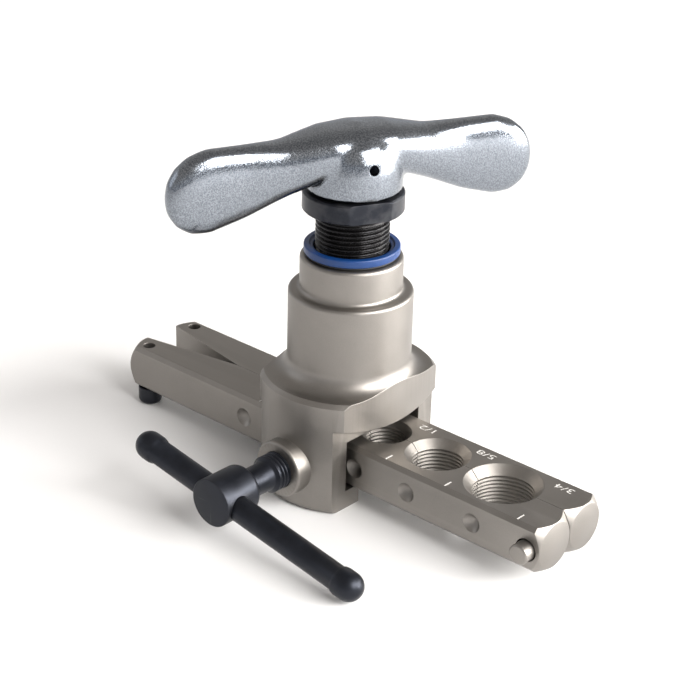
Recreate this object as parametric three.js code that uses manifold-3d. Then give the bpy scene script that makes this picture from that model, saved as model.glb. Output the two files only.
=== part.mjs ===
// Flaring tool for copper tube: a two-part die bar slides through a turned yoke, a hollow feed
// screw drives an eccentric cone down onto the tube end, and a clamp screw closes the dies.
// Millimetres, +Z up. The feed screw stands along +Z and the die bar runs along X.
// While the parts are made, the feed axis is X = Y = 0 and the top of the die bar is Z = 0.
// At the end the whole tool is moved so that the middle of its bounding box's underside is the origin.
import * as THREE from 'three';
import { mergeVertices } from 'three/addons/utils/BufferGeometryUtils.js';
import Module from 'manifold-3d';

const wasm = await Module();
wasm.setup();

// ---- Driving dimensions -------------------------------------------------------------------

const FOOT_Z = -21.4;

// Yoke
const YOKE_R = 28.3;
const YOKE_TOP_Z = 17.2;
const YOKE_RIM_ROUND = 1.3;
const YOKE_FOOT_ROUND = 2.2;
const COVE_R = 5.8;
const NECK_R = 19.66;
const NECK_TOP_Z = 45;
const NECK_ROUND = 1.2;
const RING_R = 16.14;
const RING_TOP_Z = 56.2;
const RING_ROUND = 1.2;
const STEP_COVE_R = 1.3;
const FACE_X = 21.1;
const FACE_R = 79;
const RECESS_X = 15.25;
const RECESS_INNER_R = 19.9;
const RECESS_INNER_Z = 4.9;
const RECESS_OUTER_Z = 8;
const WINDOW_HALF_Y = 17.3;
const WINDOW_TOP_Z = 2.1;
const LEDGE_TOP_Z = -15.3;
const SLOT_HALF_Y = 11;
const CAVITY_R = 14.3;
const CAVITY_TOP_Z = 33;
const FEED_CLEARANCE = 0.05;

// Die bar
const BAR_SIDE = 15;
const BAR_FRONT_X = 88.7;
const BAR_REAR_X = -87.3;
const BAR_EDGE_ROUND = 1.2;
const BAR_SPLIT_GAP = 0.1;
const BAR_END_R = 7.4;
const VEE_APEX_X = -49.4;
const VEE_SLOPE = 6.6 / 37.1;
// Tube holes: position along the bar, bore radius, countersink radius
const TUBE_HOLES = [
  [63.4, 9.525, 12.29],
  [37.8, 7.94, 10.42],
  [16.6, 6.35, 8.2],
  [0, 4.76, 6.3],
  [-16, 3.97, 5.25],
  [-32, 3.175, 4.2]
];
const DIMPLE_R = 3.15;
const STOP_X = -82.1;
const STOP_Y = 10.7;
const STOP_SHANK_R = 2.1;
const STOP_HEAD_R = 4;
const GUIDE_X = 83.7;
const GUIDE_Z = -8;
const GUIDE_R = 3.25;
const GUIDE_OUT_Y = 19;
const GUIDE_DEPTH = 9;
const GUIDE_SLACK = 0.4;
const DOWEL_X = -41;
const DOWEL_R = 2.5;
const DOWEL_SLACK = 0.3;
const FIT_GAP = 0.05;

// Feed screw and its bearings
const FEED_R = 11.5;
const FEED_PITCH = 1.5;
const FEED_BORE_R = 6.9;
const FEED_LOW_Z = 28.8;
const FEED_TOP_Z = 77.2;
const FEED_GROOVE_LOW_Z = 60.4;
const FEED_GROOVES = 6;
const FEED_GROOVE_DEPTH = 0.7;
const COLLAR_R = 15.75;
const COLLAR_FLAT = 14.24;
const COLLAR_LOW_Z = 71.2;
const COLLAR_TOP_Z = 77.4;
const COLLAR_ANGLE = -27 * Math.PI / 180;
const CROSS_ANGLE = -24 * Math.PI / 180;
const SEAL_Z = [56.4, 57];
const WIPER_Z = [57.2, 59.7];
const WIPER_R = 15;
const SHAFT_R = 6.4;
const SHAFT_TOP_R = 6;
const SHAFT_STEP_Z = 78;
const SHAFT_TOP_Z = 92.8;
const HOLDER_R = 13.4;
const HOLDER_Z = [13.8, 24.6];
const THRUST_BALL_R = 1.25;
const THRUST_PITCH_R = 9.7;
const THRUST_BALLS = 10;
const RACE_Z = [27.3, 28.6];

// Eccentric cone
const ECCENTRICITY = 1.2;
const CONE_TIP_Z = 1;
const CONE_R = 12.2;
const CONE_LAND_Z = 13.4;
const SHANK_R = 4.5;
const SHANK_TOP_Z = 18.6;
const NEEDLE_R = 1;
const NEEDLES = 10;
const CIRCLIP_Z = [14.3, 15.1];
const PIVOT_BALL_R = 2;

// Slip clutch in the handle
const CLUTCH_BALL_R = 1.6;
const CLUTCH_PITCH_R = 9.2;
const CLUTCH_BALL_Z = 78;
const CLUTCH_BALLS = 3;
const PLATE_Z = [78.9, 80.6];
const SPRING_R = 8.5;
const SPRING_WIRE = 0.7;
const SPRING_Z = [81.5, 85.3];
const HANDLE_ANGLE = 66 * Math.PI / 180;
const HANDLE_PIN_Z = 88;
const HANDLE_PIN_R = 1.5;
const HANDLE_PIN_HALF = 9.5;
// Wing sections from the hub to the tip: distance out, middle height, half height, half thickness
const WING_SECTIONS = [
  [0, 92.4, 6.2, 11],
  [10, 90.9, 7.2, 10.4],
  [17, 88.9, 7.9, 8.8],
  [24, 86.9, 8.5, 6.9],
  [36, 84.3, 11.2, 5.2],
  [47.4, 82.7, 12.8, 5.1],
  [53, 82, 11.6, 4.9],
  [57, 81.6, 8.7, 4.2],
  [59.4, 81.4, 4.8, 2.8],
  [60.1, 81.4, 1.4, 0.9]
];

// Clamp screw and its tommy bar
const CLAMP_Z = -7.4;
const CLAMP_R = 6;
const BOSS_R = 9.2;
const BOSS_Y = -32.5;
const CLAMP_INNER_Y = -23;
const CLAMP_GROOVE_Y = -33.3;
const CLAMP_PITCH = 1.4;
const CLAMP_GROOVES = 3;
const CLAMP_NECK_Y = -37.8;
const CLAMP_NECK_R = 4.7;
const CLAMP_HEAD_Y = -46.5;
const CLAMP_END_Y = -61.3;
const CLAMP_HEAD_R = 7.75;
const CLAMP_HEAD_ROUND = 2.6;
const PAD_TIP_Y = -17;
const PAD_BACK_Y = -22.7;
const PAD_R = 4.4;
const PAD_PIN_R = 1.6;
const TOMMY_Y = -56;
const TOMMY_R = 4;
const TOMMY_TILT = 9.4 * Math.PI / 180;
const TOMMY_SHIFT = 9.8;
const TOMMY_HALF = 47.1;
const TOMMY_BULB_R = 4.6;
const TOMMY_BULB_LENGTH = 9;

const ROUND_SEGMENTS = 40;
const SMALL_SEGMENTS = 20;

// ---- Solid-making helpers -----------------------------------------------------------------

// Section points of a quarter-round corner, from one angle to another about a centre.
function arc(centreR, centreZ, radius, fromDeg, toDeg, steps) {
  const points = [];
  for (let i = 0; i <= steps; i += 1) {
    const angle = THREE.MathUtils.degToRad(fromDeg + (toDeg - fromDeg) * i / steps);
    points.push([centreR + radius * Math.cos(angle), centreZ + radius * Math.sin(angle)]);
  }
  return points;
}

// Solid of revolution about +Z. The section starts and ends on the axis, or closes on itself.
function revolve(section, segments = SMALL_SEGMENTS) {
  const points = section.map(([r, z]) => new THREE.Vector2(Math.max(r, 0), z));
  const geometry = new THREE.LatheGeometry(points, segments);
  geometry.rotateX(Math.PI / 2);
  return geometry;
}

function rod(radius, lowZ, highZ, segments = SMALL_SEGMENTS) {
  return revolve([[0, lowZ], [radius, lowZ], [radius, highZ], [0, highZ]], segments);
}

// Cutter for a round hole whose flat facets all stay outside the stated radius.
function bore(radius, lowZ, highZ, segments = SMALL_SEGMENTS) {
  return rod(radius / Math.cos(Math.PI / segments), lowZ, highZ, segments);
}

function tube(innerR, outerR, lowZ, highZ, segments = SMALL_SEGMENTS) {
  const section = [[innerR, lowZ], [outerR, lowZ], [outerR, highZ], [innerR, highZ], [innerR, lowZ]];
  return revolve(section, segments);
}

function ball(radius, x, y, z, around = 10, up = 6) {
  const section = arc(0, 0, radius, -90, 90, up);
  section[0][0] = 0;
  section[up][0] = 0;
  const geometry = revolve(section, around);
  geometry.translate(x, y, z);
  return geometry;
}

function block(x0, x1, y0, y1, z0, z1) {
  const geometry = new THREE.BoxGeometry(x1 - x0, y1 - y0, z1 - z0);
  geometry.translate((x0 + x1) / 2, (y0 + y1) / 2, (z0 + z1) / 2);
  return geometry;
}

// Turns a solid made along +Z so that it lies along a direction, then moves it to a point.
function layAlong(geometry, direction, x, y, z) {
  const turn = new THREE.Quaternion().setFromUnitVectors(new THREE.Vector3(0, 0, 1), direction.clone().normalize());
  geometry.applyQuaternion(turn);
  geometry.translate(x, y, z);
  return geometry;
}

const ALONG_X = new THREE.Vector3(1, 0, 0);
const ALONG_Y = new THREE.Vector3(0, 1, 0);

// Helical wire of round section, wound about +Z between two heights.
function coil(radius, wire, lowZ, highZ, turns, stepsPerTurn, sides) {
  const points = [];
  const count = Math.round(turns * stepsPerTurn);
  for (let i = 0; i <= count; i += 1) {
    const angle = 2 * Math.PI * turns * i / count;
    const z = lowZ + (highZ - lowZ) * i / count;
    points.push(new THREE.Vector3(radius * Math.cos(angle), radius * Math.sin(angle), z));
  }
  const outline = [];
  for (let i = 0; i < sides; i += 1) {
    const angle = 2 * Math.PI * i / sides;
    outline.push(new THREE.Vector2(wire * Math.cos(angle), wire * Math.sin(angle)));
  }
  const path = new THREE.CatmullRomCurve3(points);
  return new THREE.ExtrudeGeometry(new THREE.Shape(outline), { steps: count, extrudePath: path });
}

// Closed skin through a row of rings that all have the same number of points.
function loft(rings) {
  const sides = rings[0].length;
  const positions = [];
  const index = [];
  for (const ring of rings) {
    for (const point of ring) {
      positions.push(point.x, point.y, point.z);
    }
  }
  for (let i = 0; i < rings.length - 1; i += 1) {
    for (let j = 0; j < sides; j += 1) {
      const a = i * sides + j;
      const b = i * sides + (j + 1) % sides;
      index.push(a, b, b + sides, a, b + sides, a + sides);
    }
  }
  const last = (rings.length - 1) * sides;
  for (let j = 1; j < sides - 1; j += 1) {
    index.push(0, j + 1, j);
    index.push(last, last + j, last + j + 1);
  }
  const geometry = new THREE.BufferGeometry();
  geometry.setAttribute('position', new THREE.Float32BufferAttribute(positions, 3));
  geometry.setIndex(index);
  return geometry;
}

function toManifold(geometry) {
  const bare = geometry.clone();
  bare.deleteAttribute('normal');
  bare.deleteAttribute('uv');
  const welded = mergeVertices(bare, 1e-4);
  const position = welded.attributes.position;
  const corners = welded.index.array;
  const kept = [];
  const a = new THREE.Vector3();
  const b = new THREE.Vector3();
  const c = new THREE.Vector3();
  let volume = 0;
  for (let i = 0; i < corners.length; i += 3) {
    const [p, q, r] = [corners[i], corners[i + 1], corners[i + 2]];
    if (p === q || q === r || r === p) {
      continue;
    }
    a.fromBufferAttribute(position, p);
    b.fromBufferAttribute(position, q);
    c.fromBufferAttribute(position, r);
    volume += a.dot(b.cross(c));
    kept.push([p, q, r]);
  }
  const triangles = kept.map(([p, q, r]) => (volume < 0 ? [p, r, q] : [p, q, r]));
  return new wasm.Manifold(new wasm.Mesh({
    numProp: 3,
    vertProperties: new Float32Array(position.array),
    triVerts: new Uint32Array(triangles.flat())
  }));
}

function toGeometry(solid) {
  const mesh = solid.getMesh();
  const geometry = new THREE.BufferGeometry();
  geometry.setAttribute('position', new THREE.Float32BufferAttribute(mesh.vertProperties, 3));
  geometry.setIndex(new THREE.Uint32BufferAttribute(mesh.triVerts, 1));
  const flat = geometry.toNonIndexed();
  flat.computeVertexNormals();
  return flat;
}

function unite(...geometries) {
  return geometries.map(toManifold).reduce((whole, part) => whole.add(part));
}

function cut(solid, ...geometries) {
  return geometries.map(toManifold).reduce((whole, part) => whole.subtract(part), solid);
}

// ---- Tool ---------------------------------------------------------------------------------

const tool = new THREE.Group();
tool.name = 'flaring_tool';

function addNode(name, solid, color, roughness, metalness) {
  const material = new THREE.MeshStandardMaterial({ color, roughness, metalness });
  const mesh = new THREE.Mesh(toGeometry(solid), material);
  mesh.name = name;
  tool.add(mesh);
}

const NICKEL = 0xb5b1aa;
const STEEL = 0xa9abb0;
const CHROME = 0xc3c9d4;
const BLACK_OXIDE = 0x2a2d37;

// ---- Yoke body ----------------------------------------------------------------------------

function yokeOutline() {
  return [
    [0, FOOT_Z],
    ...arc(YOKE_R - YOKE_FOOT_ROUND, FOOT_Z + YOKE_FOOT_ROUND, YOKE_FOOT_ROUND, -90, 0, 3),
    ...arc(YOKE_R - YOKE_RIM_ROUND, YOKE_TOP_Z - YOKE_RIM_ROUND, YOKE_RIM_ROUND, 0, 90, 2),
    ...arc(NECK_R + COVE_R, YOKE_TOP_Z + COVE_R, COVE_R, -90, -180, 5),
    ...arc(NECK_R - NECK_ROUND, NECK_TOP_Z - NECK_ROUND, NECK_ROUND, 0, 90, 3),
    ...arc(RING_R + STEP_COVE_R, NECK_TOP_Z + STEP_COVE_R, STEP_COVE_R, -90, -180, 3),
    ...arc(RING_R - RING_ROUND, RING_TOP_Z - RING_ROUND, RING_ROUND, 0, 90, 3),
    [0, RING_TOP_Z]
  ];
}

function clampBoss() {
  const rim = 0.9;
  const section = [
    [0, 0],
    [BOSS_R, 0],
    ...arc(BOSS_R - rim, -BOSS_Y - rim, rim, 0, 90, 2),
    [0, -BOSS_Y]
  ];
  return layAlong(revolve(section, 32), ALONG_Y.clone().negate(), 0, 0, CLAMP_Z);
}

// Upright column whose slightly rounded side is one of the yoke's two faces across the bar's way.
function faceColumn(side) {
  const column = toManifold(rod(FACE_R, FOOT_Z - 1, RING_TOP_Z + 1, 160));
  return column.translate([side * (FACE_X - FACE_R), 0, 0]);
}

// The deeper recess below each face, where the bar comes out.
function recessCuts() {
  const reach = YOKE_R + 2;
  const undercutSection = [
    [0, FOOT_Z - 1],
    [reach + 6, FOOT_Z - 1],
    [reach + 6, RECESS_OUTER_Z + (reach + 6 - YOKE_R) * 0.38],
    [RECESS_INNER_R, RECESS_INNER_Z],
    [0, RECESS_INNER_Z]
  ];
  const undercut = toManifold(revolve(undercutSection, ROUND_SEGMENTS));
  const cuts = [];
  for (const side of [-1, 1]) {
    const far = side * (reach + 4);
    const across = (nearX, lowZ, highZ) => toManifold(block(
      Math.min(side * nearX, far), Math.max(side * nearX, far), -reach, reach, lowZ, highZ));
    cuts.push(across(RECESS_X, FOOT_Z - 1, RECESS_OUTER_Z + 4).intersect(undercut));
  }
  return cuts;
}

let yoke = unite(revolve(yokeOutline(), ROUND_SEGMENTS), clampBoss());
for (const side of [-1, 1]) {
  yoke = yoke.intersect(faceColumn(side));
}
for (const piece of recessCuts()) {
  yoke = yoke.subtract(piece);
}
yoke = cut(
  yoke,
  block(-40, 40, -WINDOW_HALF_Y, WINDOW_HALF_Y, LEDGE_TOP_Z, WINDOW_TOP_Z),
  block(-40, 40, -SLOT_HALF_Y, SLOT_HALF_Y, FOOT_Z - 1, LEDGE_TOP_Z + 1),
  rod(CAVITY_R, WINDOW_TOP_Z - 1, CAVITY_TOP_Z, ROUND_SEGMENTS),
  bore(FEED_R + FEED_CLEARANCE, CAVITY_TOP_Z - 1, RING_TOP_Z + 1, ROUND_SEGMENTS),
  layAlong(bore(CLAMP_R + FEED_CLEARANCE, 10, 40, 24), ALONG_Y.clone().negate(), 0, 0, CLAMP_Z)
);
addNode('yoke_body', yoke, NICKEL, 0.38, 0.85);

// ---- Seal and wiper on top of the yoke ----------------------------------------------------

addNode('seal_ring', toManifold(tube(11.9, 14.4, SEAL_Z[0], SEAL_Z[1], 28)), 0x121214, 0.7, 0);
addNode('wiper_ring', toManifold(tube(11.9, WIPER_R, WIPER_Z[0], WIPER_Z[1], 28)), 0x1f5fb4, 0.35, 0);

// ---- Die bar ------------------------------------------------------------------------------

const BAR_MID_Z = -BAR_SIDE / 2;
const BAR_LENGTH = BAR_FRONT_X - BAR_REAR_X;

// One half of the bar. Side is -1 for the half that the clamp screw bears on, and 1 for the other.
function dieHalf(side) {
  const half = BAR_SIDE / 2;
  const inner = half - BAR_EDGE_ROUND;
  // Only the two long edges on the outer face are rounded: those at the split are sharp.
  const outline = [
    [half, -half],
    ...arc(inner, inner, BAR_EDGE_ROUND, 0, 90, 2),
    ...arc(-inner, inner, BAR_EDGE_ROUND, 90, 180, 2),
    [-half, -half]
  ].map(([x, y]) => new THREE.Vector2(x, side * y));
  const stock = new THREE.ExtrudeGeometry(new THREE.Shape(outline), { depth: BAR_LENGTH, bevelEnabled: false });
  layAlong(stock, ALONG_X, BAR_REAR_X, side * half, BAR_MID_Z);
  const envelope = revolve([
    [0, 0],
    [BAR_END_R, 0],
    [BAR_END_R + 5, 5],
    [BAR_END_R + 5, BAR_LENGTH - 5],
    [BAR_END_R, BAR_LENGTH],
    [0, BAR_LENGTH]
  ], 28);
  layAlong(envelope, ALONG_X, BAR_REAR_X, side * half, BAR_MID_Z);
  let piece = toManifold(stock).intersect(toManifold(envelope));
  piece = cut(piece, block(BAR_REAR_X - 1, BAR_FRONT_X + 1, -BAR_SPLIT_GAP, BAR_SPLIT_GAP, -BAR_SIDE - 1, 1));
  const far = BAR_REAR_X - 4;
  const vee = new THREE.Shape([
    new THREE.Vector2(VEE_APEX_X, 0),
    new THREE.Vector2(far, (VEE_APEX_X - far) * VEE_SLOPE),
    new THREE.Vector2(far, -(VEE_APEX_X - far) * VEE_SLOPE)
  ]);
  const veeCut = new THREE.ExtrudeGeometry(vee, { depth: BAR_SIDE + 4, bevelEnabled: false });
  veeCut.translate(0, 0, -BAR_SIDE - 2);
  piece = cut(piece, veeCut);
  for (const [x, boreR, sinkR] of TUBE_HOLES) {
    const depth = sinkR - boreR;
    const hole = revolve([
      [0, -BAR_SIDE - 1],
      [boreR, -BAR_SIDE - 1],
      [boreR, -depth],
      [sinkR, 0],
      [sinkR + 1, 1],
      [0, 1]
    ], x > 30 ? 28 : 20);
    hole.translate(x, 0, 0);
    piece = cut(piece, hole);
  }
  piece = cut(piece, boreAt(STOP_SHANK_R + FIT_GAP, STOP_X, side * STOP_Y, -BAR_SIDE - 1, 1, 16));
  return piece;
}

function rodAt(radius, x, y, lowZ, highZ, segments) {
  const geometry = rod(radius, lowZ, highZ, segments);
  geometry.translate(x, y, 0);
  return geometry;
}

function boreAt(radius, x, y, lowZ, highZ, segments) {
  return rodAt(radius / Math.cos(Math.PI / segments), x, y, lowZ, highZ, segments);
}

// Rod that lies across the bar between two Y values, and the cutter for a hole that takes one.
function crossRod(radius, x, z, lowY, highY, segments = 20) {
  return layAlong(rod(radius, lowY, highY, segments), ALONG_Y, x, 0, z);
}

function crossBore(radius, x, z, lowY, highY, segments = 20) {
  return layAlong(bore(radius, lowY, highY, segments), ALONG_Y, x, 0, z);
}

let frontDie = cut(
  dieHalf(-1),
  crossBore(GUIDE_R + GUIDE_SLACK, GUIDE_X, GUIDE_Z, -BAR_SIDE - 1, 1),
  crossBore(DOWEL_R + DOWEL_SLACK, DOWEL_X, BAR_MID_Z, -8.6, 1)
);
for (const [x] of TUBE_HOLES) {
  const dimple = revolve([[0, -DIMPLE_R], [DIMPLE_R + 1, 1], [0, 1]], 16);
  frontDie = cut(frontDie, layAlong(dimple, ALONG_Y.clone().negate(), x, -BAR_SIDE, BAR_MID_Z));
}
addNode('front_die_half', frontDie, NICKEL, 0.4, 0.85);

const rearDie = cut(
  dieHalf(1),
  crossBore(GUIDE_R + FIT_GAP, GUIDE_X, GUIDE_Z, -1, GUIDE_DEPTH + 0.3),
  crossBore(DOWEL_R + FIT_GAP, DOWEL_X, BAR_MID_Z, -1, 8.3)
);
addNode('rear_die_half', rearDie, NICKEL, 0.4, 0.85);

const guideSection = [
  [0, -GUIDE_OUT_Y],
  [GUIDE_R - 0.7, -GUIDE_OUT_Y],
  [GUIDE_R, -GUIDE_OUT_Y + 0.7],
  [GUIDE_R, GUIDE_DEPTH],
  [0, GUIDE_DEPTH]
];
const guidePin = layAlong(revolve(guideSection, 24), ALONG_Y, GUIDE_X, 0, GUIDE_Z);
addNode('guide_pin', toManifold(guidePin), STEEL, 0.35, 0.9);
addNode('heel_dowel', toManifold(crossRod(DOWEL_R, DOWEL_X, BAR_MID_Z, -8, 8, 16)), STEEL, 0.35, 0.9);

function stopPin(side) {
  const dome = 1.9;
  const section = [
    [0, FOOT_Z],
    ...arc(STOP_HEAD_R - dome, FOOT_Z + dome, dome, -90, 0, 3),
    [STOP_HEAD_R, -BAR_SIDE - 0.2],
    [STOP_SHANK_R, -BAR_SIDE - 0.2],
    [STOP_SHANK_R, -1.8],
    [0, -1.8]
  ];
  const pin = revolve(section, 20);
  pin.translate(STOP_X, side * STOP_Y, 0);
  return toManifold(pin);
}
addNode('front_stop_pin', stopPin(-1), 0x17181b, 0.45, 0.3);
addNode('rear_stop_pin', stopPin(1), 0x17181b, 0.45, 0.3);

// ---- Feed screw ---------------------------------------------------------------------------

function feedSleeve() {
  const section = [[FEED_BORE_R, FEED_LOW_Z], [FEED_R - 0.6, FEED_LOW_Z], [FEED_R, FEED_LOW_Z + 0.6]];
  for (let i = 0; i < FEED_GROOVES; i += 1) {
    const z = FEED_GROOVE_LOW_Z + i * FEED_PITCH;
    section.push([FEED_R, z]);
    section.push([FEED_R - FEED_GROOVE_DEPTH, z + FEED_PITCH * 0.45]);
    section.push([FEED_R, z + FEED_PITCH * 0.9]);
  }
  const cupR = CLUTCH_BALL_R + 0.15;
  const drop = CLUTCH_BALL_Z - FEED_TOP_Z;
  const half = Math.sqrt(cupR * cupR - drop * drop);
  const turn = THREE.MathUtils.radToDeg(Math.asin(drop / cupR));
  section.push(
    [FEED_R - 0.3, COLLAR_LOW_Z - 1.4],
    [FEED_R - 0.3, FEED_TOP_Z],
    [CLUTCH_PITCH_R + half, FEED_TOP_Z],
    ...arc(CLUTCH_PITCH_R, CLUTCH_BALL_Z, cupR, -turn, -180 + turn, 3).slice(1, -1),
    [CLUTCH_PITCH_R - half, FEED_TOP_Z],
    [FEED_BORE_R, FEED_TOP_Z],
    [FEED_BORE_R, FEED_LOW_Z]
  );
  return toManifold(revolve(section, 28));
}
addNode('feed_screw', feedSleeve(), 0x1d1c1e, 0.35, 0.8);

function collar() {
  const chamfer = 0.5;
  let ring = toManifold(revolve([
    [FEED_R - 0.25, COLLAR_LOW_Z],
    [COLLAR_R - chamfer, COLLAR_LOW_Z],
    [COLLAR_R, COLLAR_LOW_Z + chamfer],
    [COLLAR_R, COLLAR_TOP_Z - chamfer],
    [COLLAR_R - chamfer, COLLAR_TOP_Z],
    [FEED_R - 0.25, COLLAR_TOP_Z],
    [FEED_R - 0.25, COLLAR_LOW_Z]
  ], 36));
  for (const side of [-1, 1]) {
    const slab = block(COLLAR_FLAT, COLLAR_R + 3, -COLLAR_R, COLLAR_R, COLLAR_LOW_Z - 1, COLLAR_TOP_Z + 1);
    slab.rotateZ(COLLAR_ANGLE + (side > 0 ? 0 : Math.PI));
    ring = cut(ring, slab);
  }
  return ring;
}
addNode('clutch_collar', collar(), BLACK_OXIDE, 0.4, 0.7);

addNode('thrust_race', toManifold(tube(6.8, 12.9, RACE_Z[0], RACE_Z[1], 24)), STEEL, 0.3, 0.9);

function ballCircle(count, pitchR, radius, z) {
  const balls = [];
  for (let i = 0; i < count; i += 1) {
    const angle = 2 * Math.PI * i / count;
    balls.push(ball(radius, pitchR * Math.cos(angle), pitchR * Math.sin(angle), z, 8, 4));
  }
  return balls;
}
// Balls and the ring-shaped cage that holds them, as one solid.
const thrustBallZ = (HOLDER_Z[1] + RACE_Z[0]) / 2;
const thrustCage = unite(
  tube(THRUST_PITCH_R - 1.6, THRUST_PITCH_R + 1.6, thrustBallZ - 0.5, thrustBallZ + 0.5, 24),
  ...ballCircle(THRUST_BALLS, THRUST_PITCH_R, THRUST_BALL_R, thrustBallZ)
);
addNode('thrust_ball_cage', thrustCage, STEEL, 0.2, 0.95);

// ---- Drive shaft with the eccentric cone holder -------------------------------------------

const POCKET_R = SHANK_R + 2 * NEEDLE_R + 0.15;
const driveShaft = cut(
  toManifold(revolve([
    [0, HOLDER_Z[0]],
    [HOLDER_R - 0.4, HOLDER_Z[0]],
    [HOLDER_R, HOLDER_Z[0] + 0.4],
    [HOLDER_R, HOLDER_Z[1] - 0.4],
    [HOLDER_R - 0.4, HOLDER_Z[1]],
    [SHAFT_R, HOLDER_Z[1]],
    [SHAFT_R, SHAFT_STEP_Z],
    [SHAFT_TOP_R, SHAFT_STEP_Z],
    [SHAFT_TOP_R, SHAFT_TOP_Z - 0.6],
    [SHAFT_TOP_R - 0.6, SHAFT_TOP_Z],
    [0, SHAFT_TOP_Z]
  ], 28)),
  boreAt(POCKET_R, 0, -ECCENTRICITY, HOLDER_Z[0] - 1, SHANK_TOP_Z + 0.5, 28),
  boreAt(POCKET_R + 0.7, 0, -ECCENTRICITY, CIRCLIP_Z[0] - 0.15, CIRCLIP_Z[1] + 0.15, 28),
  boreAt(PIVOT_BALL_R + 0.2, 0, -ECCENTRICITY, SHANK_TOP_Z, SHANK_TOP_Z + 2 * PIVOT_BALL_R + 0.4, 16),
  crossPin(HANDLE_PIN_R + 0.12, 20)
);
addNode('drive_shaft', driveShaft, STEEL, 0.35, 0.9);

function crossPin(radius, halfLength) {
  const direction = new THREE.Vector3(Math.cos(CROSS_ANGLE), Math.sin(CROSS_ANGLE), 0);
  return layAlong(rod(radius, -halfLength, halfLength, 14), direction, 0, 0, HANDLE_PIN_Z);
}

const coneSection = [
  [0, CONE_TIP_Z],
  [CONE_R, CONE_TIP_Z + CONE_R],
  [CONE_R, CONE_LAND_Z],
  [SHANK_R, CONE_LAND_Z],
  [SHANK_R, CIRCLIP_Z[0] - 0.15],
  [SHANK_R - 0.4, CIRCLIP_Z[0] - 0.15],
  [SHANK_R - 0.4, CIRCLIP_Z[1] + 0.15],
  [SHANK_R, CIRCLIP_Z[1] + 0.15],
  [SHANK_R, SHANK_TOP_Z],
  [0, SHANK_TOP_Z]
];
const cone = revolve(coneSection, 28);
cone.translate(0, -ECCENTRICITY, 0);
addNode('flaring_cone', toManifold(cone), 0xc8cacd, 0.15, 0.95);

// Needle rollers and the thin sleeve that cages them, as one solid.
function needleCage() {
  const rollers = [];
  const pitchR = SHANK_R + NEEDLE_R + 0.07;
  for (let i = 0; i < NEEDLES; i += 1) {
    const angle = 2 * Math.PI * i / NEEDLES;
    const x = pitchR * Math.cos(angle);
    const y = pitchR * Math.sin(angle) - ECCENTRICITY;
    rollers.push(rodAt(NEEDLE_R, x, y, CIRCLIP_Z[1] + 0.3, SHANK_TOP_Z, 6));
  }
  const sleeve = tube(pitchR - 0.4, pitchR + 0.4, CIRCLIP_Z[1] + 0.5, SHANK_TOP_Z - 0.2, 28);
  sleeve.translate(0, -ECCENTRICITY, 0);
  return unite(sleeve, ...rollers);
}
addNode('needle_cage', needleCage(), STEEL, 0.2, 0.95);

const circlipRing = tube(SHANK_R - 0.15, POCKET_R + 0.4, CIRCLIP_Z[0], CIRCLIP_Z[1], 28);
circlipRing.translate(0, -ECCENTRICITY, 0);
const circlip = cut(toManifold(circlipRing), block(-1.2, 1.2, 0, 12, CIRCLIP_Z[0] - 1, CIRCLIP_Z[1] + 1));
addNode('cone_circlip', circlip, STEEL, 0.35, 0.9);

const pivotBall = ball(PIVOT_BALL_R, 0, -ECCENTRICITY, SHANK_TOP_Z + PIVOT_BALL_R + 0.15, 12, 8);
addNode('cone_pivot_ball', toManifold(pivotBall), STEEL, 0.2, 0.95);

// ---- Slip clutch --------------------------------------------------------------------------

const clutchBalls = ballCircle(CLUTCH_BALLS, CLUTCH_PITCH_R, CLUTCH_BALL_R, CLUTCH_BALL_Z);
clutchBalls.forEach((geometry, i) => {
  addNode('clutch_ball_' + (i + 1), toManifold(geometry), STEEL, 0.2, 0.95);
});
const plate = cut(
  toManifold(tube(SHAFT_TOP_R + 0.3, 11.5, PLATE_Z[0], PLATE_Z[1], 24)),
  ...ballCircle(CLUTCH_BALLS, CLUTCH_PITCH_R, CLUTCH_BALL_R + 0.15, CLUTCH_BALL_Z)
);
addNode('clutch_plate', plate, STEEL, 0.35, 0.9);
const clutchSpring = coil(SPRING_R, SPRING_WIRE, SPRING_Z[0], SPRING_Z[1], 2.5, 14, 6);
addNode('clutch_spring', toManifold(clutchSpring), STEEL, 0.4, 0.9);

// ---- Handle -------------------------------------------------------------------------------

// Rounded-box section of the wing, standing across the handle's length.
function wingRing(distance, middleZ, halfHeight, halfThickness, sides) {
  const ring = [];
  const along = new THREE.Vector2(Math.cos(HANDLE_ANGLE), Math.sin(HANDLE_ANGLE));
  for (let i = 0; i < sides; i += 1) {
    const angle = 2 * Math.PI * i / sides;
    const c = Math.cos(angle);
    const s = Math.sin(angle);
    const out = Math.sign(c) * Math.pow(Math.abs(c), 0.65) * halfThickness;
    const up = Math.sign(s) * Math.pow(Math.abs(s), 0.85) * halfHeight;
    ring.push(new THREE.Vector3(along.x * distance + along.y * out, along.y * distance - along.x * out, middleZ + up));
  }
  return ring;
}

function wings() {
  const rings = [];
  for (const [distance, middleZ, halfHeight, halfThickness] of WING_SECTIONS.slice(1).reverse()) {
    rings.push(wingRing(-distance, middleZ, halfHeight, halfThickness, 16));
  }
  for (const [distance, middleZ, halfHeight, halfThickness] of WING_SECTIONS) {
    rings.push(wingRing(distance, middleZ, halfHeight, halfThickness, 16));
  }
  return loft(rings);
}

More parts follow.
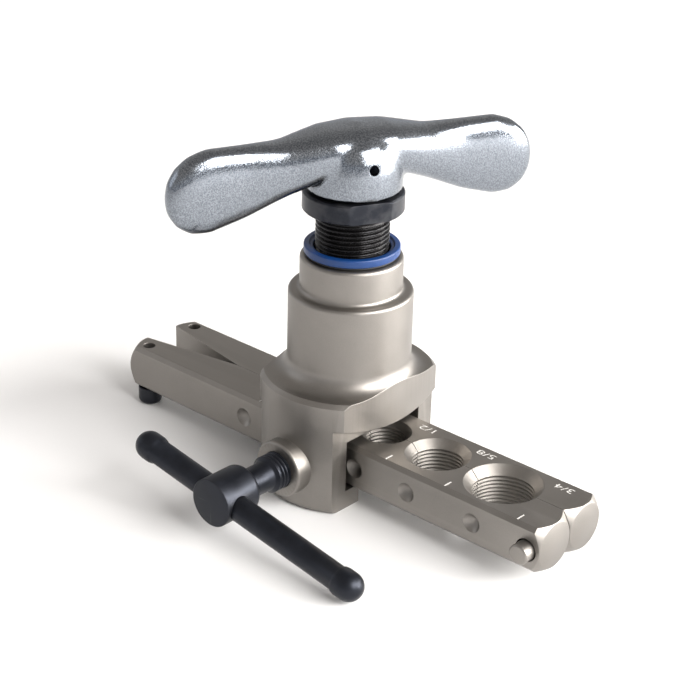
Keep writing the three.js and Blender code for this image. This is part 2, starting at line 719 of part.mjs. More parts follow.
const hub = revolve([
  [0, 77.8],
  [14.5, 77.8],
  [15, 78.5],
  [15, 82],
  [14.8, 86],
  [14.1, 90],
  [12.4, 93.6],
  [9.6, 96.4],
  [5.5, 98.2],
  [0, 98.8]
], 32);
const handle = cut(
  unite(hub, wings()),
  rod(11.9, 70, 83, 24),
  rod(10.2, 80, 86.2, 24),
  bore(SHAFT_TOP_R + 0.1, 80, SHAFT_TOP_Z + 0.3, 20),
  crossPin(HANDLE_PIN_R + 0.12, 20)
);
addNode('handle', handle, CHROME, 0.2, 1);
addNode('handle_pin', toManifold(crossPin(HANDLE_PIN_R, HANDLE_PIN_HALF)), 0x1a1a1c, 0.5, 0.6);

// ---- Clamp screw --------------------------------------------------------------------------

// Sections of the clamp parts run outward from the bar, along -Y.
function alongClamp(section, segments) {
  return layAlong(revolve(section, segments), ALONG_Y.clone().negate(), 0, 0, CLAMP_Z);
}

function tommyDirection() {
  return new THREE.Vector3(Math.cos(TOMMY_TILT), 0, -Math.sin(TOMMY_TILT));
}

function clampScrew() {
  const section = [
    [0, -CLAMP_INNER_Y - 2.2],
    [PAD_PIN_R, -CLAMP_INNER_Y - 2.2],
    [PAD_PIN_R, -CLAMP_INNER_Y],
    [CLAMP_R - 0.8, -CLAMP_INNER_Y],
    [CLAMP_R, -CLAMP_INNER_Y + 0.8]
  ];
  for (let i = 0; i < CLAMP_GROOVES; i += 1) {
    const start = -CLAMP_GROOVE_Y + i * CLAMP_PITCH;
    section.push([CLAMP_R, start]);
    section.push([CLAMP_R - 0.7, start + CLAMP_PITCH * 0.45]);
    section.push([CLAMP_R, start + CLAMP_PITCH * 0.9]);
  }
  section.push(
    [CLAMP_R, -CLAMP_NECK_Y - 0.8],
    [CLAMP_NECK_R, -CLAMP_NECK_Y],
    [CLAMP_NECK_R, -CLAMP_HEAD_Y],
    [CLAMP_HEAD_R - CLAMP_HEAD_ROUND, -CLAMP_HEAD_Y],
    ...arc(CLAMP_HEAD_R - CLAMP_HEAD_ROUND, -CLAMP_HEAD_Y + CLAMP_HEAD_ROUND, CLAMP_HEAD_ROUND, -60, 0, 2),
    [CLAMP_HEAD_R, -CLAMP_END_Y - 0.5],
    [CLAMP_HEAD_R - 0.5, -CLAMP_END_Y],
    [0, -CLAMP_END_Y]
  );
  const crossHole = layAlong(bore(TOMMY_R + 0.08, -15, 15, 20), tommyDirection(), 0, TOMMY_Y, CLAMP_Z);
  return cut(toManifold(alongClamp(section, 24)), crossHole);
}
addNode('clamp_screw', clampScrew(), BLACK_OXIDE, 0.35, 0.7);

const padSection = [
  [0, -PAD_TIP_Y],
  [DIMPLE_R - 0.05, -PAD_TIP_Y + DIMPLE_R - 0.05],
  [PAD_R, -PAD_TIP_Y + DIMPLE_R + 0.2],
  [PAD_R, -PAD_BACK_Y],
  [PAD_PIN_R + 0.1, -PAD_BACK_Y],
  [PAD_PIN_R + 0.1, -PAD_BACK_Y - 2.2],
  [0, -PAD_BACK_Y - 2.2]
];
addNode('clamp_pad', toManifold(alongClamp(padSection, 24)), STEEL, 0.35, 0.9);

// Tommy bar with a swaged bulb at each end that stops it leaving the screw head.
function tommyBar() {
  const section = [];
  const bulbStart = TOMMY_HALF - TOMMY_BULB_LENGTH;
  section.push([0, -TOMMY_HALF]);
  section.push(...arc(0, -TOMMY_HALF + TOMMY_BULB_R, TOMMY_BULB_R, -65, 0, 3));
  section.push([TOMMY_BULB_R, -bulbStart - 1.2]);
  section.push([TOMMY_R, -bulbStart]);
  section.push([TOMMY_R, bulbStart]);
  section.push([TOMMY_BULB_R, bulbStart + 1.2]);
  section.push(...arc(0, TOMMY_HALF - TOMMY_BULB_R, TOMMY_BULB_R, 0, 65, 3));
  section.push([0, TOMMY_HALF]);
  const direction = tommyDirection();
  const middle = direction.clone().multiplyScalar(TOMMY_SHIFT);
  return layAlong(revolve(section, 20), direction, middle.x, TOMMY_Y, CLAMP_Z + middle.z);
}
addNode('tommy_bar', toManifold(tommyBar()), BLACK_OXIDE, 0.4, 0.6);

// ---- Origin at the middle of the bounding box's underside ---------------------------------

const bounds = new THREE.Box3().setFromObject(tool);
const middle = bounds.getCenter(new THREE.Vector3());
for (const mesh of tool.children) {
  mesh.geometry.translate(-middle.x, -middle.y, -bounds.min.z);
}

export default tool;
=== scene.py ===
from math import asin, cos, degrees, pi, radians, sin

import bmesh
import bpy
from mathutils import Matrix, Vector


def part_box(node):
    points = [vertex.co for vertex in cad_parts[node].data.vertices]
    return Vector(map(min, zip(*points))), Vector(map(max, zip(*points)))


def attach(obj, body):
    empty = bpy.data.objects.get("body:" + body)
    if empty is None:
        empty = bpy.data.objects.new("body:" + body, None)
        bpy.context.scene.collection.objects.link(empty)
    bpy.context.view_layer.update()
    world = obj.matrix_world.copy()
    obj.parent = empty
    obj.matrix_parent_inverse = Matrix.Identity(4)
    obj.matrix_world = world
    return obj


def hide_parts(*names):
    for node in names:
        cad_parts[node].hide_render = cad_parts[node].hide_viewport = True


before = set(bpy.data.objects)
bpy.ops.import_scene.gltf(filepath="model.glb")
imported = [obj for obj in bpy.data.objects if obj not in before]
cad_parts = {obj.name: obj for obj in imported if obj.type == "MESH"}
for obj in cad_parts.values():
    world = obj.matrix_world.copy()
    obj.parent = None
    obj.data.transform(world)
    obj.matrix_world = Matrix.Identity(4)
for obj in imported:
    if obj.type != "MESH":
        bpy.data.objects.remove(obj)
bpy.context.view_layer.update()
MM = 0.001

# Feed axis and bar top, from the frame
ring_low, ring_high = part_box("wiper_ring")
bar_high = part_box("rear_die_half")[1]
AXIS = Vector(((ring_low[0] + ring_high[0]) / 2, (ring_low[1] + ring_high[1]) / 2, bar_high[2]))
PLACE = Matrix.Translation(AXIS) @ Matrix.Scale(MM, 4)

# ---- Sizes in millimetres ------------------------------------------------------------------

FOOT_Z = -21.4
YOKE_R = 28.3
YOKE_TOP_Z = 17.2
YOKE_RIM_ROUND = 1.3
YOKE_FOOT_ROUND = 2.2
STEP_ROUND = 1.2
STEP_COVE_R = 1.3
COVE_R = 5.8
NECK_R = 19.66
NECK_TOP_Z = 45
RING_R = 16.14
RING_TOP_Z = 56.2
FACE_X = 21.1
FACE_R = 79
RECESS_X = 15.25
RECESS_INNER_R = 19.9
RECESS_INNER_Z = 4.9
RECESS_OUTER_Z = 8
RECESS_SLOPE = 0.38
WINDOW_HALF_Y = 17.3
WINDOW_TOP_Z = 2.1
LEDGE_TOP_Z = -15.3
SLOT_HALF_Y = 11
CAVITY_R = 14.3
CAVITY_TOP_Z = 33
FEED_R = 11.5
FEED_PITCH = 1.5
CLAMP_Z = -7.4
CLAMP_R = 6
CLAMP_PITCH = 1.4
BOSS_R = 9.2
BOSS_Y = -32.5
BOSS_ROUND = 0.9
RUN_FIT = 0.05

BAR_SIDE = 15
BAR_FRONT_X = 88.7
BAR_REAR_X = -87.3
BAR_EDGE_ROUND = 1.3
BAR_END_R = 7.4
SPLIT_GAP = 0.1
VEE_APEX_X = -49.4
VEE_SLOPE = 6.6 / 37.1
GRIP_PITCH = 1.27
GRIP_DEPTH = 0.42
# Tube holes: place along the bar, bore radius, countersink radius, size label
TUBE_HOLES = [
    (63.4, 9.525, 12.29, "3/4"),
    (37.8, 7.94, 10.42, "5/8"),
    (16.6, 6.35, 8.2, "1/2"),
    (0, 4.76, 6.3, "3/8"),
    (-16, 3.97, 5.25, "5/16"),
    (-32, 3.175, 4.2, "1/4"),
]
# Places along the bar of the size labels that stand off the usual distance from their hole
LABEL_X = {"3/4": 78.6, "5/8": 48.7, "1/2": 25.4}
DIMPLE_R = 3.15
STOP_X = -82.1
STOP_Y = 10.7
STOP_SHANK_R = 2.1
STOP_HEAD_R = 4
GUIDE_X = 83.7
GUIDE_Z = -8
GUIDE_R = 3.25
GUIDE_SLACK = 0.4

HANDLE_ANGLE = radians(66)
CROSS_ANGLE = radians(-24)
COLLAR_ANGLE = radians(-27)
HANDLE_PIN_Z = 88
# Wing sections: distance out, middle height, half height, half thickness
WING_SECTIONS = [
    (0, 92.4, 6.2, 11),
    (10, 90.9, 7.2, 10.4),
    (17, 88.9, 7.9, 8.8),
    (24, 86.9, 8.5, 6.9),
    (36, 84.3, 11.2, 5.2),
    (47.4, 82.7, 12.8, 5.1),
    (53, 82, 11.6, 4.9),
    (57, 81.6, 8.7, 4.2),
    (59.4, 81.4, 4.8, 2.8),
    (60.1, 81.4, 1.4, 0.9),
]

TOMMY_Y = -56
TOMMY_R = 4
TOMMY_TILT = radians(9.4)
TOMMY_SHIFT = 9.8
TOMMY_HALF = 47.1
TOMMY_BULB_R = 4.6
TOMMY_BULB_LENGTH = 9

ECCENTRICITY = 1.2

# ---- Mesh helpers --------------------------------------------------------------------------


def arc(centre_r, centre_z, radius, start, end, steps=8):
    """Section points of a round corner, from one angle in degrees to another."""
    points = []
    for i in range(steps + 1):
        angle = radians(start + (end - start) * i / steps)
        points.append((centre_r + radius * cos(angle), centre_z + radius * sin(angle)))
    return points


def mesh_object(name, build):
    """A new object whose mesh, in millimetres, is filled in by build(bm)."""
    bm = bmesh.new()
    build(bm)
    bmesh.ops.remove_doubles(bm, verts=bm.verts, dist=1e-5)
    bmesh.ops.recalc_face_normals(bm, faces=bm.faces)
    mesh = bpy.data.meshes.new(name)
    bm.to_mesh(mesh)
    bm.free()
    obj = bpy.data.objects.new(name, mesh)
    bpy.context.scene.collection.objects.link(obj)
    return obj


def skin_rings(bm, rings, closed=False):
    """Faces between rings of points. A ring of one point is a pole; closed joins last to first."""
    made = [[bm.verts.new(p) for p in ring] for ring in rings]
    pairs = list(zip(made, made[1:]))
    if closed:
        pairs.append((made[-1], made[0]))
    for low, high in pairs:
        count = max(len(low), len(high))
        for j in range(count):
            k = (j + 1) % count
            corners = [low[j % len(low)], low[k % len(low)], high[k % len(high)], high[j % len(high)]]
            unique = list(dict.fromkeys(corners))
            if len(unique) > 2:
                bm.faces.new(unique)


def turned(name, section, segments=96, radius_at=None):
    """Solid of revolution about Z. radius_at(r, z, angle) may change a point's radius."""
    closed = section[0] == section[-1]
    points = section[:-1] if closed else section

    def build(bm):
        rings = []
        for r, z in points:
            if r < 1e-6:
                rings.append([(0, 0, z)])
                continue
            ring = []
            for j in range(segments):
                angle = 2 * pi * j / segments
                radius = radius_at(r, z, angle) if radius_at else r
                ring.append((radius * cos(angle), radius * sin(angle), z))
            rings.append(ring)
        skin_rings(bm, rings, closed)

    return mesh_object(name, build)


def rod(name, radius, low, high, segments=64):
    return turned(name, [(0, low), (radius, low), (radius, high), (0, high)], segments)


def block(name, x0, x1, y0, y1, z0, z1):
    def build(bm):
        made = bmesh.ops.create_cube(bm, size=1)["verts"]
        for vert in made:
            vert.co.x = x0 if vert.co.x < 0 else x1
            vert.co.y = y0 if vert.co.y < 0 else y1
            vert.co.z = z0 if vert.co.z < 0 else z1

    return mesh_object(name, build)


def prism(name, outline, low, high):
    """Upright solid over an outline of (x, y) points."""
    def build(bm):
        skin_rings(bm, [[(x, y, low) for x, y in outline], [(x, y, high) for x, y in outline]])
        bm.verts.ensure_lookup_table()
        count = len(outline)
        bm.faces.new(bm.verts[:count])
        bm.faces.new(bm.verts[count:])

    return mesh_object(name, build)


def move(obj, matrix):
    obj.data.transform(matrix)
    return obj


def along(direction, origin=(0, 0, 0)):
    """Matrix that lays a Z-wise solid along a direction from an origin."""
    turn = Vector((0, 0, 1)).rotation_difference(Vector(direction)).to_matrix().to_4x4()
    return Matrix.Translation(origin) @ turn


def bake(obj):
    """Replaces an object's mesh with the result of its modifiers."""
    shown = obj.evaluated_get(bpy.context.evaluated_depsgraph_get())
    mesh = bpy.data.meshes.new_from_object(shown)
    old = obj.data
    obj.modifiers.clear()
    obj.data = mesh
    bpy.data.meshes.remove(old)
    return obj


def combine(obj, other, operation):
    modifier = obj.modifiers.new("combine", "BOOLEAN")
    modifier.operation = operation
    modifier.object = other
    modifier.solver = "MANIFOLD"
    bake(obj)
    bpy.data.objects.remove(other)
    return obj


def cut(obj, *others):
    for other in others:
        combine(obj, other, "DIFFERENCE")
    return obj


def smooth(obj, angle=30):
    mesh = obj.data
    mesh.polygons.foreach_set("use_smooth", [True] * len(mesh.polygons))
    mesh.set_sharp_from_angle(angle=radians(angle))
    mesh.update()
    return obj


def finish_piece(obj, material, body, replaced, angle=30):
    """Places a finished piece on the frame, gives it its material and ties it to its body."""
    move(obj, PLACE)
    smooth(obj, angle)
    obj.data.materials.clear()
    obj.data.materials.append(material)
    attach(obj, body)
    if replaced:
        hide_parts(*replaced)
    return obj


# ---- Materials -----------------------------------------------------------------------------


class Surface:
    """Small builder for a node material round one Principled shader."""

    def __init__(self, name):
        self.material = bpy.data.materials.new(name)
        self.material.use_nodes = True
        self.tree = self.material.node_tree
        self.tree.nodes.clear()
        self.output = self.tree.nodes.new("ShaderNodeOutputMaterial")
        self.shader = self.tree.nodes.new("ShaderNodeBsdfPrincipled")
        self.tree.links.new(self.shader.outputs["BSDF"], self.output.inputs["Surface"])
        self.place = self.tree.nodes.new("ShaderNodeTexCoord").outputs["Object"]

    def set(self, **values):
        for key, value in values.items():
            self.shader.inputs[key.replace("_", " ")].default_value = value
        return self

    def link(self, source, target):
        self.tree.links.new(source, target)

    def noise(self, scale, detail=3.0, roughness=0.55, stretch=None):
        """Noise value; scale is in features per metre, stretch squeezes it along an axis."""
        node = self.tree.nodes.new("ShaderNodeTexNoise")
        node.inputs["Scale"].default_value = scale
        node.inputs["Detail"].default_value = detail
        node.inputs["Roughness"].default_value = roughness
        place = self.place
        if stretch:
            mapping = self.tree.nodes.new("ShaderNodeMapping")
            mapping.inputs["Scale"].default_value = stretch
            self.link(place, mapping.inputs["Vector"])
            place = mapping.outputs["Vector"]
        self.link(place, node.inputs["Vector"])
        return node.outputs["Fac"]

    def spread(self, value, low, high, out_low=0.0, out_high=1.0):
        """Maps a value between two limits to an output range."""
        node = self.tree.nodes.new("ShaderNodeMapRange")
        node.inputs["From Min"].default_value = low
        node.inputs["From Max"].default_value = high
        node.inputs["To Min"].default_value = out_low
        node.inputs["To Max"].default_value = out_high
        self.link(value, node.inputs["Value"])
        return node.outputs["Result"]

    def math(self, operation, a, b):
        node = self.tree.nodes.new("ShaderNodeMath")
        node.operation = operation
        for socket, value in zip(node.inputs, (a, b)):
            if isinstance(value, (int, float)):
                socket.default_value = value
            else:
                self.link(value, socket)
        return node.outputs["Value"]

    def mix(self, amount, first, second):
        node = self.tree.nodes.new("ShaderNodeMix")
        node.data_type = "RGBA"
        for socket_name, value in (("Factor", amount), ("A", first), ("B", second)):
            socket = node.inputs[socket_name]
            if isinstance(value, tuple):
                socket.default_value = value if len(value) == 4 else (*value, 1.0)
            elif isinstance(value, (int, float)):
                socket.default_value = value
            else:
                self.link(value, socket)
        return node.outputs["Result"]

    def worn_edges(self):
        """About 1 on sharp outer edges and 0 elsewhere."""
        geometry = self.tree.nodes.new("ShaderNodeNewGeometry")
        return self.spread(geometry.outputs["Pointiness"], 0.52, 0.6)

    def bump(self, height, strength, distance, rounded=0.0):
        """Surface relief, over edges that catch light as if rounded to the given radius."""
        node = self.tree.nodes.new("ShaderNodeBump")
        node.inputs["Strength"].default_value = strength
        node.inputs["Distance"].default_value = distance
        self.link(height, node.inputs["Height"])
        if rounded:
            bevel = self.tree.nodes.new("ShaderNodeBevel")
            bevel.samples = 6
            bevel.inputs["Radius"].default_value = rounded
            self.link(bevel.outputs["Normal"], node.inputs["Normal"])
        self.link(node.outputs["Normal"], self.shader.inputs["Normal"])
        return self


def nickel_material(name="satin_nickel", tint=(0.27, 0.254, 0.236)):
    """Fine bead-blasted nickel with faint cloudy variation and brighter edges."""
    s = Surface(name)
    s.set(Metallic=1.0)
    cloud = s.noise(70, 4)
    grain = s.noise(3200, 2)
    dark = tuple(c * 0.86 for c in tint)
    base = s.mix(s.spread(cloud, 0.3, 0.7), dark, tint)
    base = s.mix(s.spread(grain, 0.35, 0.65, 0.0, 0.22), base, tuple(min(1, c * 1.25) for c in tint))
    edge = s.math("MULTIPLY", s.worn_edges(), 0.35)
    s.link(s.mix(edge, base, tuple(min(1, c * 1.4) for c in tint)), s.shader.inputs["Base Color"])
    rough = s.math("ADD", s.spread(cloud, 0.3, 0.7, 0.38, 0.46), s.spread(grain, 0.3, 0.7, -0.03, 0.05))
    s.link(rough, s.shader.inputs["Roughness"])
    relief = s.math("ADD", grain, s.math("MULTIPLY", s.noise(900, 2), 0.6))
    return s.bump(relief, 0.16, 0.00006, 0.00025).material


def machined_material(name, tint, roughness, lines):
    """Bright turned metal with fine tool lines across the given stretch."""
    s = Surface(name)
    s.set(Metallic=1.0)
    line = s.noise(900, 3, 0.6, lines)
    cloud = s.noise(120, 3)
    base = s.mix(s.spread(line, 0.3, 0.7), tuple(c * 0.82 for c in tint), tint)
    s.link(base, s.shader.inputs["Base Color"])
    fine = s.spread(line, 0.3, 0.7, roughness - 0.05, roughness + 0.07)
    rough = s.math("ADD", fine, s.spread(cloud, 0.3, 0.7, -0.02, 0.03))
    s.link(rough, s.shader.inputs["Roughness"])
    return s.bump(line, 0.18, 0.00004, 0.0002).material


def chrome_material():
    """Satin chrome over a cast surface: fine orange peel and scattered speckle."""
    s = Surface("satin_chrome")
    s.set(Metallic=1.0)
    speckle = s.noise(2600, 2)
    peel = s.noise(650, 3)
    cloud = s.noise(60, 3)
    bright = (0.31, 0.335, 0.37)
    base = s.mix(s.spread(speckle, 0.4, 0.62), (0.16, 0.178, 0.205), bright)
    base = s.mix(s.spread(cloud, 0.35, 0.7, 0.0, 0.25), base, (0.23, 0.25, 0.28))
    s.link(base, s.shader.inputs["Base Color"])
    rough = s.math("ADD", s.spread(speckle, 0.35, 0.65, 0.13, 0.24), s.spread(cloud, 0.3, 0.7, -0.02, 0.03))
    s.link(rough, s.shader.inputs["Roughness"])
    return s.bump(s.math("ADD", peel, s.math("MULTIPLY", speckle, 0.35)), 0.3, 0.00012, 0.0003).material


def oxide_material(name="black_oxide", tint=(0.014, 0.016, 0.022), roughness=0.34):
    """Oiled black oxide with faint cloudy variation, dark grey where edges are worn."""
    s = Surface(name)
    s.set(Metallic=0.75)
    s.set(Specular_IOR_Level=0.6)
    cloud = s.noise(160, 4)
    grain = s.noise(2400, 2)
    base = s.mix(s.spread(cloud, 0.35, 0.7), tint, tuple(c * 1.35 for c in tint))
    edge = s.math("MULTIPLY", s.worn_edges(), s.spread(cloud, 0.4, 0.62))
    s.link(s.mix(edge, base, (0.06, 0.061, 0.066)), s.shader.inputs["Base Color"])
    coarse = s.spread(cloud, 0.3, 0.7, roughness - 0.06, roughness + 0.1)
    rough = s.math("ADD", coarse, s.spread(grain, 0.3, 0.7, -0.03, 0.05))
    s.link(rough, s.shader.inputs["Roughness"])
    return s.bump(grain, 0.2, 0.00006, 0.00025).material


def plastic_material(name, tint, roughness, coat=0.0):
    """Moulded plastic or rubber with a fine uneven gloss."""
    s = Surface(name)
    s.set(Metallic=0.0, Coat_Weight=coat, Coat_Roughness=0.15)
    cloud = s.noise(220, 3)
    grain = s.noise(1800, 2)
    base = s.mix(s.spread(cloud, 0.3, 0.7), tuple(c * 0.8 for c in tint), tint)
    s.link(base, s.shader.inputs["Base Color"])
    s.link(s.spread(grain, 0.3, 0.7, roughness - 0.05, roughness + 0.08), s.shader.inputs["Roughness"])
    return s.bump(grain, 0.12, 0.00008, 0.0002).material


def paint_material():
    """Thin white marking paint, a little broken where it is rubbed."""
    s = Surface("marking_paint")
    s.set(Roughness=0.6)
    wear = s.noise(2600, 3)
    base = s.mix(s.spread(wear, 0.42, 0.62), (0.5, 0.48, 0.45), (0.86, 0.86, 0.84))
    s.link(base, s.shader.inputs["Base Color"])
    return s.bump(wear, 0.3, 0.00004).material


NICKEL = nickel_material()
PIN_STEEL = machined_material("pin_steel", (0.6, 0.6, 0.6), 0.24, (1, 6, 1))
BEARING = machined_material("bearing_steel", (0.66, 0.66, 0.67), 0.16, (1, 1, 1))
CHROME = chrome_material()
OXIDE = oxide_material()
THREAD_OXIDE = oxide_material("oiled_thread", (0.008, 0.0075, 0.008), 0.24)
BLUE = plastic_material("blue_ring", (0.001, 0.034, 0.15), 0.4)
RUBBER = plastic_material("black_seal", (0.012, 0.012, 0.013), 0.55)
PAINT = paint_material()

# ---- Yoke ----------------------------------------------------------------------------------


def yoke_section():
    rim, foot, top = YOKE_RIM_ROUND, YOKE_FOOT_ROUND, STEP_ROUND
    return [
        (0, FOOT_Z),
        *arc(YOKE_R - foot, FOOT_Z + foot, foot, -90, 0),
        (YOKE_R, YOKE_TOP_Z - rim),
        (YOKE_R - rim, YOKE_TOP_Z),
        *arc(NECK_R + COVE_R, YOKE_TOP_Z + COVE_R, COVE_R, -90, -180, 14),
        *arc(NECK_R - top, NECK_TOP_Z - top, top, 0, 90),
        *arc(RING_R + STEP_COVE_R, NECK_TOP_Z + STEP_COVE_R, STEP_COVE_R, -90, -180),
        *arc(RING_R - top, RING_TOP_Z - top, top, 0, 90),
        (0, RING_TOP_Z),
    ]


def make_yoke():
    yoke = turned("yoke", yoke_section(), 160)
    rim = BOSS_ROUND
    boss_section = [(0, 0), (BOSS_R, 0), *arc(BOSS_R - rim, -BOSS_Y - rim, rim, 0, 90, 6), (0, -BOSS_Y)]
    boss = move(turned("boss", boss_section, 96), along((0, -1, 0), (0, 0, CLAMP_Z)))
    combine(yoke, boss, "UNION")
    reach = YOKE_R + 6
    outer = reach + 4
    outer_z = RECESS_OUTER_Z + (outer - YOKE_R) * RECESS_SLOPE
    for side in (-1, 1):
        def across(near, low, high):
            ends = sorted((side * near, side * reach))
            return block("cutter", ends[0], ends[1], -reach, reach, low, high)

        column = rod("column", FACE_R, FOOT_Z - 1, RING_TOP_Z + 1, 720)
        combine(yoke, move(column, Matrix.Translation((side * (FACE_X - FACE_R), 0, 0))), "INTERSECT")
        undercut = turned("undercut", [
            (0, FOOT_Z - 1), (outer, FOOT_Z - 1), (outer, outer_z),
            (RECESS_INNER_R, RECESS_INNER_Z), (0, RECESS_INNER_Z)], 160)
        recess = across(RECESS_X, FOOT_Z - 2, 14)
        combine(recess, undercut, "INTERSECT")
        cut(yoke, recess)
    cut(
        yoke,
        block("window", -40, 40, -WINDOW_HALF_Y, WINDOW_HALF_Y, LEDGE_TOP_Z, WINDOW_TOP_Z),
        block("slot", -40, 40, -SLOT_HALF_Y, SLOT_HALF_Y, FOOT_Z - 1, LEDGE_TOP_Z + 1),
        rod("cavity", CAVITY_R, WINDOW_TOP_Z - 1, CAVITY_TOP_Z, 96),
        rod("feed_bore", FEED_R + RUN_FIT, CAVITY_TOP_Z - 1, RING_TOP_Z + 1, 96),
        move(rod("clamp_bore", CLAMP_R + RUN_FIT, 10, 40), along((0, -1, 0), (0, 0, CLAMP_Z))),
    )
    return yoke


finish_piece(make_yoke(), NICKEL, "yoke", ["yoke_body"])

# ---- Rings on the neck ---------------------------------------------------------------------


def ring_section(inner, outer, low, high, edge):
    """Closed section of a plain ring with all four edges rounded."""
    return [
        (inner, low + edge),
        *arc(inner + edge, low + edge, edge, 180, 270, 4),
        *arc(outer - edge, low + edge, edge, -90, 0, 4),
        *arc(outer - edge, high - edge, edge, 0, 90, 4),
        *arc(inner + edge, high - edge, edge, 90, 180, 4),
        (inner, low + edge),
    ]


seal = turned("neck_seal", ring_section(11.9, 14.4, 56.4, 57, 0.2), 96)
finish_piece(seal, RUBBER, "yoke", ["seal_ring"])
wiper = turned("blue_wiper_ring", [
    (11.9, 57.5), *arc(12.2, 57.5, 0.3, 180, 270, 3), *arc(14.7, 57.5, 0.3, -90, 0, 4),
    *arc(14.5, 59.2, 0.5, 0, 90, 6), (13.3, 59.7), (12.9, 59.1), (12.2, 59.0), (11.9, 58.7),
    (11.9, 57.5)], 128)
finish_piece(wiper, BLUE, "yoke", ["wiper_ring"])

# ---- Die bar -------------------------------------------------------------------------------


def hole_cutter(x, bore_r, sink_r):
    """Countersunk hole with fine gripping grooves round its bore."""
    section = [(0, -BAR_SIDE - 1), (bore_r, -BAR_SIDE - 1)]
    top = -(sink_r - bore_r)
    count = int((BAR_SIDE + top - 0.5) / GRIP_PITCH)
    for i in range(count, 0, -1):
        z = top - 0.35 - i * GRIP_PITCH
        section += [
            (bore_r, z), (bore_r, z + GRIP_PITCH * 0.2),
            (bore_r + GRIP_DEPTH, z + GRIP_PITCH * 0.5),
            (bore_r + GRIP_DEPTH, z + GRIP_PITCH * 0.62), (bore_r, z + GRIP_PITCH * 0.92)]
    section += [(bore_r, top), (sink_r, 0), (sink_r + 1, 1), (0, 1)]
    return move(turned("hole", section, 96), Matrix.Translation((x, 0, 0)))


def die_half(name, side):
    """One bar half: side -1 is nearest the clamp screw. Only its two outer long edges are rounded."""
    half = BAR_SIDE / 2
    inner = half - BAR_EDGE_ROUND
    outline = [
        (half, -half), (half, half), (-inner, half), (-half, inner), (-half, -inner), (-inner, -half)]
    # outline x runs across the bar away from the outer face, outline y runs upward
    outline = [(-side * a, b) for a, b in outline]
    length = BAR_FRONT_X - BAR_REAR_X

    def build(bm):
        rings = [[(x, side * half + a, b - half) for a, b in outline] for x in (BAR_REAR_X, BAR_FRONT_X)]
        skin_rings(bm, rings)
        bm.verts.ensure_lookup_table()
        bm.faces.new(bm.verts[:len(outline)])
        bm.faces.new(bm.verts[len(outline):])

    piece = mesh_object(name, build)
    envelope = turned("turned_ends", [
        (0, 0), (BAR_END_R - 0.15, 0), (BAR_END_R + 0.1, 0.12), (BAR_END_R + 5, 5),
        (BAR_END_R + 5, length - 5), (BAR_END_R + 0.1, length - 0.12), (BAR_END_R - 0.15, length),
        (0, length)], 128)
    move(envelope, along((1, 0, 0), (BAR_REAR_X, side * half, -half)))
    combine(piece, envelope, "INTERSECT")
    far = BAR_REAR_X - 4
    opening = (VEE_APEX_X - far) * VEE_SLOPE
    stop_hole = rod("stop_hole", STOP_SHANK_R + RUN_FIT, -BAR_SIDE - 1, 1, 40)
    cut(
        piece,
        block("split", BAR_REAR_X - 1, BAR_FRONT_X + 1, -SPLIT_GAP, SPLIT_GAP, -BAR_SIDE - 1, 1),
        prism("vee", [(VEE_APEX_X, 0), (far, opening), (far, -opening)], -BAR_SIDE - 2, 2),
        move(stop_hole, Matrix.Translation((STOP_X, side * STOP_Y, 0))),
    )
    for x, bore_r, sink_r, _ in TUBE_HOLES:
        cut(piece, hole_cutter(x, bore_r, sink_r))
    return piece


def make_front_die():
    piece = die_half("front_die", -1)
    outward = Vector((0, -1, 0))
    guide_hole = rod("guide_hole", GUIDE_R + GUIDE_SLACK, -1, 16, 56)
    cut(piece, move(guide_hole, along(outward, (GUIDE_X, 0, GUIDE_Z))))
    for x, *_ in TUBE_HOLES:
        dimple = turned("dimple", [
            (0, -DIMPLE_R), (DIMPLE_R - 0.1, -0.1), (DIMPLE_R + 0.15, 0.12), (DIMPLE_R + 0.15, 1),
            (0, 1)], 48)
        cut(piece, move(dimple, along(outward, (x, -BAR_SIDE, -BAR_SIDE / 2))))
    return piece


finish_piece(make_front_die(), NICKEL, "bar_front", ["front_die_half"])
finish_piece(die_half("rear_die", 1), NICKEL, "bar_rear", ["rear_die_half"])

# ---- Size labels and ticks on the bar --------------------------------------------------------


def finish_marks(obj, body):
    return finish_piece(obj, PAINT, body, None)


def label(name, text, x, y, height):
    """Thin painted size number on the bar top, read from the +Y side."""
    curve = bpy.data.curves.new(name, "FONT")
    curve.body = text
    curve.size = height
    curve.align_x = "CENTER"
    curve.align_y = "CENTER"
    curve.extrude = 0.012
    curve.offset = -0.02
    letters = bpy.data.objects.new(name, curve)
    bpy.context.scene.collection.objects.link(letters)
    bpy.context.view_layer.update()
    shown = letters.evaluated_get(bpy.context.evaluated_depsgraph_get())
    mesh = bpy.data.meshes.new_from_object(shown)
    bpy.data.objects.remove(letters)
    obj = bpy.data.objects.new(name, mesh)
    bpy.context.scene.collection.objects.link(obj)
    wide = Matrix.Diagonal((1.5, 1, 1, 1))
    return move(obj, Matrix.Translation((x, y, 0.004)) @ Matrix.Rotation(pi, 4, "Z") @ wide)


for i, (x, bore_r, sink_r, size) in enumerate(TUBE_HOLES):
    small = x < 10
    label_x = LABEL_X.get(size, x + sink_r + 1.9)
    finish_marks(label("size_label_%d" % i, size, label_x, 10.4, 2.4 if small else 3.7), "bar_rear")
    tick_x = x + sink_r + (1.6 if small else 3.4)

    def tick(bm, tick_x=tick_x):
        outline = [(-0.22, -13.7), (0.22, -13.7), (0.3, -12), (0.22, -10.5), (-0.22, -10.5), (-0.3, -12)]
        skin_rings(bm, [[(tick_x + a, y, z) for a, y in outline] for z in (-0.02, 0.014)])
        bm.verts.ensure_lookup_table()
        bm.faces.new(bm.verts[:6])
        bm.faces.new(bm.verts[6:])

    finish_marks(mesh_object("tick_%d" % i, tick), "bar_front")

# ---- Pins in the bar -----------------------------------------------------------------------

